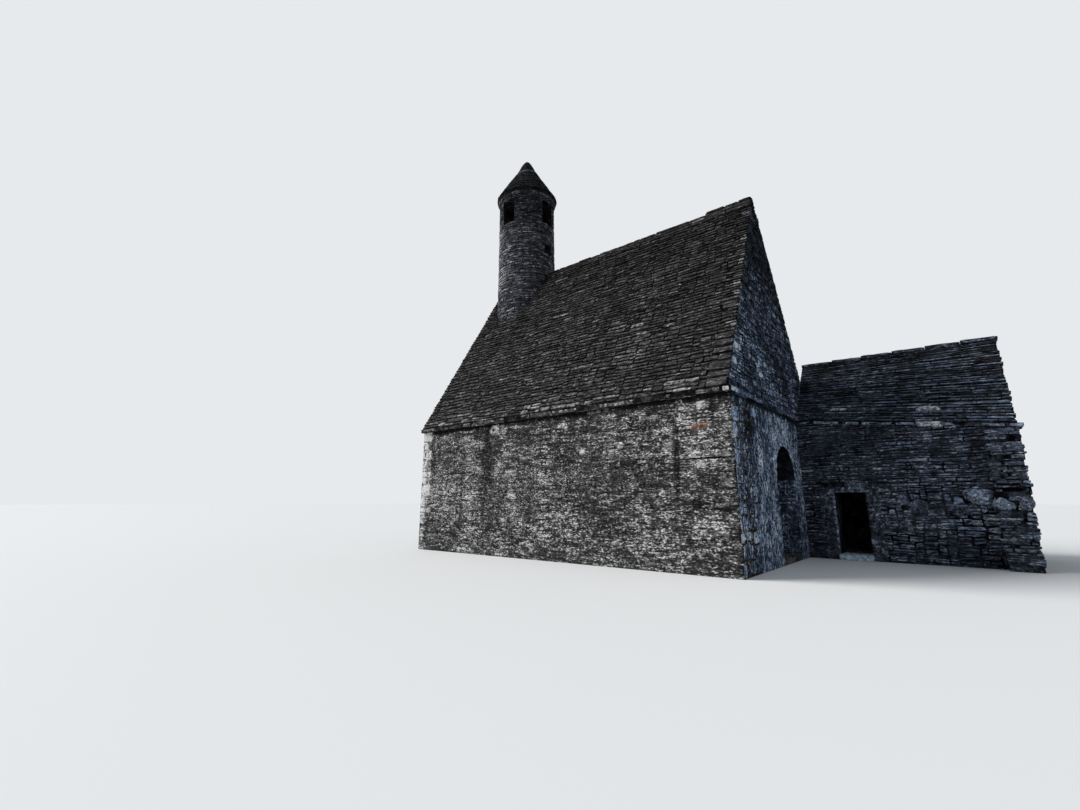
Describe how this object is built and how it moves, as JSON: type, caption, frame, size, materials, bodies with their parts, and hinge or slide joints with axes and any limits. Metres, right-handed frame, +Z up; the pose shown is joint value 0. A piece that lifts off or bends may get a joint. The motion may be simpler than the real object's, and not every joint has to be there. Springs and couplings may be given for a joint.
{
  "type": "small stone-roofed chapel with round belfry",
  "caption": "Small rubble-stone chapel with a steep stone roof over a barrel vault, a round belfry astride the ridge and a low sacristy against the east wall.",
  "frame": {"origin": "on the ground, at the middle of the nave's plan", "axes": "+X east along the nave towards the sacristy, +Y north, +Z up"},
  "size_m": [14.05, 8.6756, 14.39],
  "materials": {
    "wall_stone": "coursed rubble, lichened grey",
    "roof_stone": "thin rough slabs, dark grey-brown",
    "belfry_stone": "thin rough courses with pale flecks",
    "sacristy_stone": "thin slaty rubble, very dark blue-grey",
    "pale_stone": "dressed pale stone, rough",
    "floor_stone": "worn flagstones"
  },
  "bodies": {
    "root": {"nave_floor": "floor_stone", "nave_south_wall": "wall_stone", "nave_north_wall": "wall_stone", "nave_east_wall_south": "wall_stone", "nave_east_wall_north": "wall_stone", "nave_east_wall_head": "wall_stone", "chancel_arch_voussoirs": "wall_stone", "nave_west_wall_south": "wall_stone", "nave_west_wall_north": "wall_stone", "nave_west_wall_head": "wall_stone", "west_door_lintel": "pale_stone", "nave_vault": "wall_stone", "eaves_course_south": "wall_stone", "eaves_course_north": "wall_stone", "gable_course_east": "wall_stone", "gable_course_west": "wall_stone", "nave_east_gable": "wall_stone", "nave_west_gable": "wall_stone", "nave_roof_south": "roof_stone", "nave_roof_north": "roof_stone", "nave_ridge_stones": "roof_stone", "belfry_shaft_north": "belfry_stone", "belfry_shaft_east": "belfry_stone", "belfry_shaft_south": "belfry_stone", "belfry_shaft_west": "belfry_stone", "belfry_piers": "belfry_stone", "belfry_head_ring": "belfry_stone", "belfry_cornice": "belfry_stone", "belfry_cap": "belfry_stone", "belfry_cap_stone": "belfry_stone", "sacristy_floor": "floor_stone", "sacristy_threshold": "pale_stone", "sacristy_door_jambs": "sacristy_stone", "sacristy_door_lintel": "sacristy_stone", "sacristy_wall_over_door": "sacristy_stone", "sacristy_south_wall": "sacristy_stone", "sacristy_north_wall": "sacristy_stone", "sacristy_west_wall": "sacristy_stone", "sacristy_east_wall": "sacristy_stone", "sacristy_eaves_slabs": "sacristy_stone", "sacristy_roof_south": "roof_stone", "sacristy_roof_north": "roof_stone", "sacristy_ridge_slabs": "roof_stone", "broken_chancel_wall": "sacristy_stone"}
  },
  "joints": []
}
